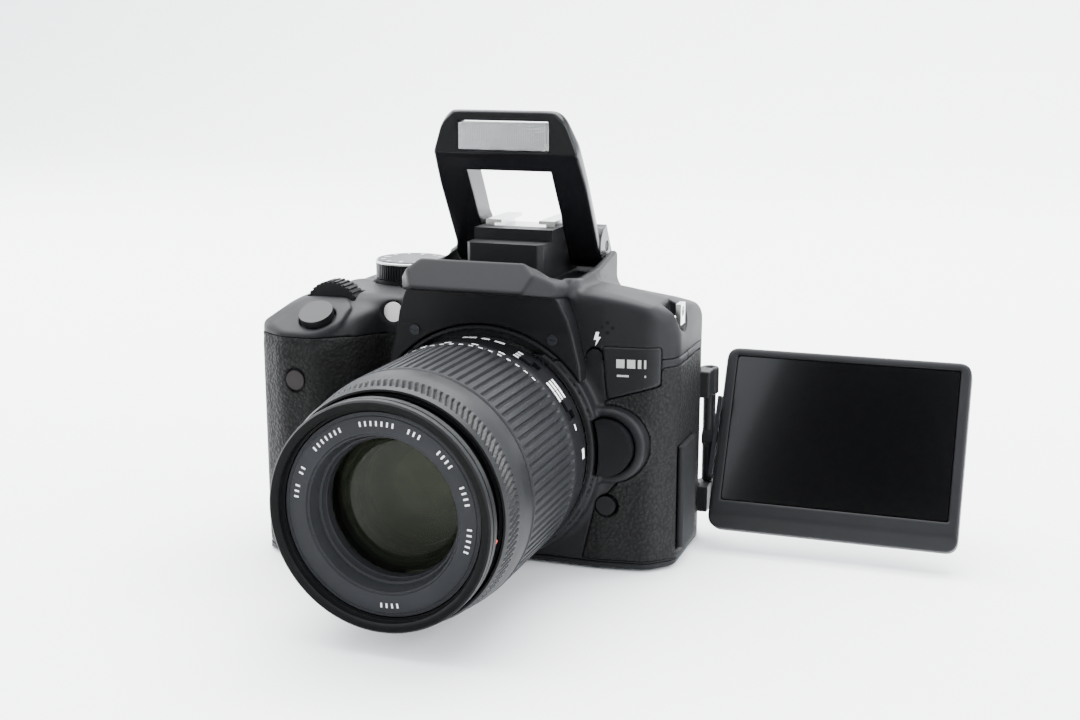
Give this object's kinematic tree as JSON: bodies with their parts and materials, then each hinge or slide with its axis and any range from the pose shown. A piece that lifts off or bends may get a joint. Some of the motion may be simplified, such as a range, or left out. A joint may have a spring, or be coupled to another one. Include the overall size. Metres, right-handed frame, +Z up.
{
  "type": "single-lens reflex camera",
  "caption": "Interchangeable-lens reflex camera with a standard zoom lens, raised pop-up flash and a swing-out screen turned to face forward.",
  "frame": {"origin": "mouth of the tripod socket, in the base plane, under the lens axis", "axes": "-Y the way the lens looks, +Z up, +X towards the screen hinge"},
  "size_m": [0.213, 0.1452, 0.1386],
  "materials": {
    "badge_plastic": "smooth satin",
    "bezel_plastic": "satin grey",
    "body_plastic": "fine matt texture",
    "brass_insert": "turned",
    "bright_steel": "satin",
    "clear_window": "frosted",
    "coated_glass": "green coating",
    "dark_steel": "satin black",
    "dark_window": "dark red tint",
    "dial_plastic": "knurled",
    "flash_lens": "ribbed",
    "flash_plastic": "glossy inside, matt outside",
    "gloss_black": "satin gloss",
    "grip_skin": "pebbled",
    "inner_plastic": "flat black",
    "lens_plastic": "satin",
    "mirror_coat": "front silvered",
    "optical_glass": "clear",
    "panel_plastic": "fine matt texture",
    "reflector": "polished",
    "ring_rubber": "ribbed",
    "screen_glass": "glossy black",
    "sensor_glass": "filter glass",
    "soft_rubber": "matt"
  },
  "bodies": {
    "camera_body": {"af_lamp": "clear_window", "base_cover": "body_plastic", "battery_pack": "inner_plastic", "body_mount_ring": "bright_steel", "cover_screws": "dark_steel", "eyecup": "soft_rubber", "eyepiece_lens": "optical_glass", "front_cover": "body_plastic", "grip_rubber": "grip_skin", "hot_shoe_base": "body_plastic", "hot_shoe_rails": "bright_steel", "image_sensor": "sensor_glass", "lens_housing": "lens_plastic", "lens_mount": "lens_plastic", "mirror_box": "inner_plastic", "mirror_panel": "panel_plastic", "name_plate": "badge_plastic", "pentamirror": "optical_glass", "rear_cover": "body_plastic", "rear_element": "coated_glass", "remote_window": "dark_window", "shutter_unit": "dark_steel", "side_rubber": "grip_skin", "strap_lugs": "bright_steel", "thumb_rubber": "grip_skin", "top_cover": "body_plastic", "tripod_socket": "brass_insert"},
    "mirror": {"reflex_mirror": "mirror_coat"},
    "sub_mirror": {"sub_mirror": "mirror_coat"},
    "shutter_button": {"shutter_button": "gloss_black"},
    "mode_dial": {"mode_dial": "dial_plastic"},
    "power_switch": {"power_switch": "dial_plastic"},
    "main_dial": {"main_dial": "soft_rubber"},
    "iso_button": {"iso_button": "gloss_black"},
    "flash_button": {"flash_button": "gloss_black"},
    "dof_button": {"dof_button": "gloss_black"},
    "lens_release_button": {"lens_release_button": "gloss_black"},
    "lens_lock_pin": {"lens_lock_pin": "bright_steel"},
    "menu_button": {"menu_button": "gloss_black"},
    "live_view_button": {"live_view_button": "gloss_black"},
    "cross_keys": {"cross_keys": "gloss_black"},
    "set_button": {"set_button": "gloss_black"},
    "dioptre_dial": {"dioptre_dial": "dial_plastic"},
    "battery_door": {"battery_door": "body_plastic"},
    "card_door": {"card_door": "body_plastic"},
    "terminal_cover": {"terminal_cover": "soft_rubber"},
    "flash": {"flash_frame": "flash_plastic", "flash_window": "flash_lens", "flash_reflector": "reflector"},
    "screen_arm": {"lcd_arm": "body_plastic"},
    "screen_pivot": {"lcd_pivot": "dark_steel"},
    "screen": {"lcd_housing": "body_plastic", "lcd_glass": "screen_glass"},
    "zoom_ring": {"zoom_ring": "ring_rubber"},
    "focus_ring": {"focus_ring": "lens_plastic"},
    "front_barrel": {"front_barrel": "lens_plastic", "name_ring": "bezel_plastic", "front_element": "coated_glass"},
    "focus_mode_switch": {"focus_mode_switch": "lens_plastic"},
    "stabiliser_switch": {"stabiliser_switch": "lens_plastic"}
  },
  "joints": [
    {"name": "shutter_press", "type": "slide", "parent": "camera_body", "child": "shutter_button", "axis": [0, 0.4896, -0.8719], "range_m": [0, 0.001], "stiffness_N_per_m": 600, "springref_m": -0.0005},
    {"name": "mode_turn", "type": "hinge", "parent": "camera_body", "child": "mode_dial", "pos_m": [-0.0389, 0.014, 0.085], "axis": [0, 0, 1], "continuous": true},
    {"name": "power_turn", "type": "hinge", "parent": "camera_body", "child": "power_switch", "pos_m": [-0.0389, 0.014, 0.081], "axis": [0, 0, -1], "range_deg": [0, 40]},
    {"name": "main_dial_turn", "type": "hinge", "parent": "camera_body", "child": "main_dial", "pos_m": [-0.0528, -0.014, 0.0755], "axis": [0, -1, 0], "continuous": true},
    {"name": "iso_press", "type": "slide", "parent": "camera_body", "child": "iso_button", "axis": [0, 0, -1], "range_m": [0, 0.0006], "stiffness_N_per_m": 600, "springref_m": -0.0005},
    {"name": "flash_button_press", "type": "slide", "parent": "camera_body", "child": "flash_button", "axis": [0, 1, 0], "range_m": [0, 0.0006], "stiffness_N_per_m": 600, "springref_m": -0.0005},
    {"name": "dof_press", "type": "slide", "parent": "camera_body", "child": "dof_button", "axis": [0, 1, 0], "range_m": [0, 0.0008], "stiffness_N_per_m": 600, "springref_m": -0.0005},
    {"name": "lens_release_press", "type": "slide", "parent": "camera_body", "child": "lens_release_button", "axis": [0, 1, 0], "range_m": [0, 0.0016], "stiffness_N_per_m": 600, "springref_m": -0.0005},
    {"name": "lock_pin_slide", "type": "slide", "parent": "camera_body", "child": "lens_lock_pin", "axis": [0, 1, 0], "range_m": [0, 0.0016]},
    {"name": "menu_press", "type": "slide", "parent": "camera_body", "child": "menu_button", "axis": [0, -1, 0], "range_m": [0, 0.0006], "stiffness_N_per_m": 600, "springref_m": -0.0005},
    {"name": "live_view_press", "type": "slide", "parent": "camera_body", "child": "live_view_button", "axis": [0, -1, 0], "range_m": [0, 0.0006], "stiffness_N_per_m": 600, "springref_m": -0.0005},
    {"name": "cross_keys_press", "type": "slide", "parent": "camera_body", "child": "cross_keys", "axis": [0, -1, 0], "range_m": [0, 0.0006], "stiffness_N_per_m": 600, "springref_m": -0.0005},
    {"name": "set_press", "type": "slide", "parent": "camera_body", "child": "set_button", "axis": [0, -1, 0], "range_m": [0, 0.0006], "stiffness_N_per_m": 600, "springref_m": -0.0005},
    {"name": "dioptre_turn", "type": "hinge", "parent": "camera_body", "child": "dioptre_dial", "pos_m": [0.02, 0.0312, 0.0822], "axis": [1, 0, 0], "continuous": true},
    {"name": "battery_door_swing", "type": "hinge", "parent": "camera_body", "child": "battery_door", "pos_m": [-0.0383, -0.017, 0.0009], "axis": [0, -1, 0], "range_deg": [0, 95]},
    {"name": "card_door_swing", "type": "hinge", "parent": "camera_body", "child": "card_door", "pos_m": [-0.0651, 0.0282, 0.036], "axis": [0, 0, -1], "range_deg": [0, 100]},
    {"name": "terminal_cover_swing", "type": "hinge", "parent": "camera_body", "child": "terminal_cover", "pos_m": [0.058, -0.0052, 0.022], "axis": [0, 0, -1], "range_deg": [0, 110]},
    {"name": "flash_fold", "type": "hinge", "parent": "camera_body", "child": "flash", "pos_m": [0, 0.025, 0.094], "axis": [1, 0, 0], "range_deg": [0, 57]},
    {"name": "screen_swing", "type": "hinge", "parent": "camera_body", "child": "screen_arm", "pos_m": [0.0585, 0.0295, 0.0323], "axis": [0, 0, -1], "range_deg": [-180, 0]},
    {"name": "screen_level", "type": "hinge", "parent": "screen_arm", "child": "screen_pivot", "pos_m": [0.062, 0.0295, 0.0323], "axis": [1, 0, 0], "range_deg": [0, 27]},
    {"name": "screen_turn", "type": "hinge", "parent": "screen_pivot", "child": "screen", "pos_m": [0.064, 0.0295, 0.0323], "axis": [-1, 0, 0], "range_deg": [0, 243]},
    {"name": "zoom_turn", "type": "hinge", "parent": "camera_body", "child": "zoom_ring", "pos_m": [0, -0.056, 0.0382], "axis": [0, -1, 0], "range_deg": [0, 80]},
    {"name": "barrel_slide", "type": "slide", "parent": "camera_body", "child": "front_barrel", "axis": [0, -1, 0], "range_m": [0, 0.016]},
    {"name": "focus_turn", "type": "hinge", "parent": "camera_body", "child": "focus_ring", "pos_m": [0, -0.083, 0.0382], "axis": [0, -1, 0], "continuous": true},
    {"name": "mirror_flip", "type": "hinge", "parent": "camera_body", "child": "mirror", "pos_m": [0, 0.005, 0.0484], "axis": [-1, 0, 0], "range_deg": [0, 45]},
    {"name": "sub_mirror_fold", "type": "hinge", "parent": "mirror", "child": "sub_mirror", "pos_m": [0, -0.004, 0.0374], "axis": [-1, 0, 0], "range_deg": [0, 45]},
    {"name": "focus_mode_slide", "type": "slide", "parent": "camera_body", "child": "focus_mode_switch", "axis": [0.8387, 0, -0.5446], "range_m": [0, 0.0022]},
    {"name": "stabiliser_slide", "type": "slide", "parent": "camera_body", "child": "stabiliser_switch", "axis": [0.4695, 0, -0.8829], "range_m": [0, 0.0022]}
  ],
  "couplings": [
    {"joint": "screen_level", "follows": "screen_swing", "ratio": -0.15},
    {"joint": "barrel_slide", "follows": "zoom_turn", "m_per_rad": 0.011448},
    {"joint": "lock_pin_slide", "follows": "lens_release_press", "ratio": 1},
    {"joint": "sub_mirror_fold", "follows": "mirror_flip", "ratio": 1}
  ]
}
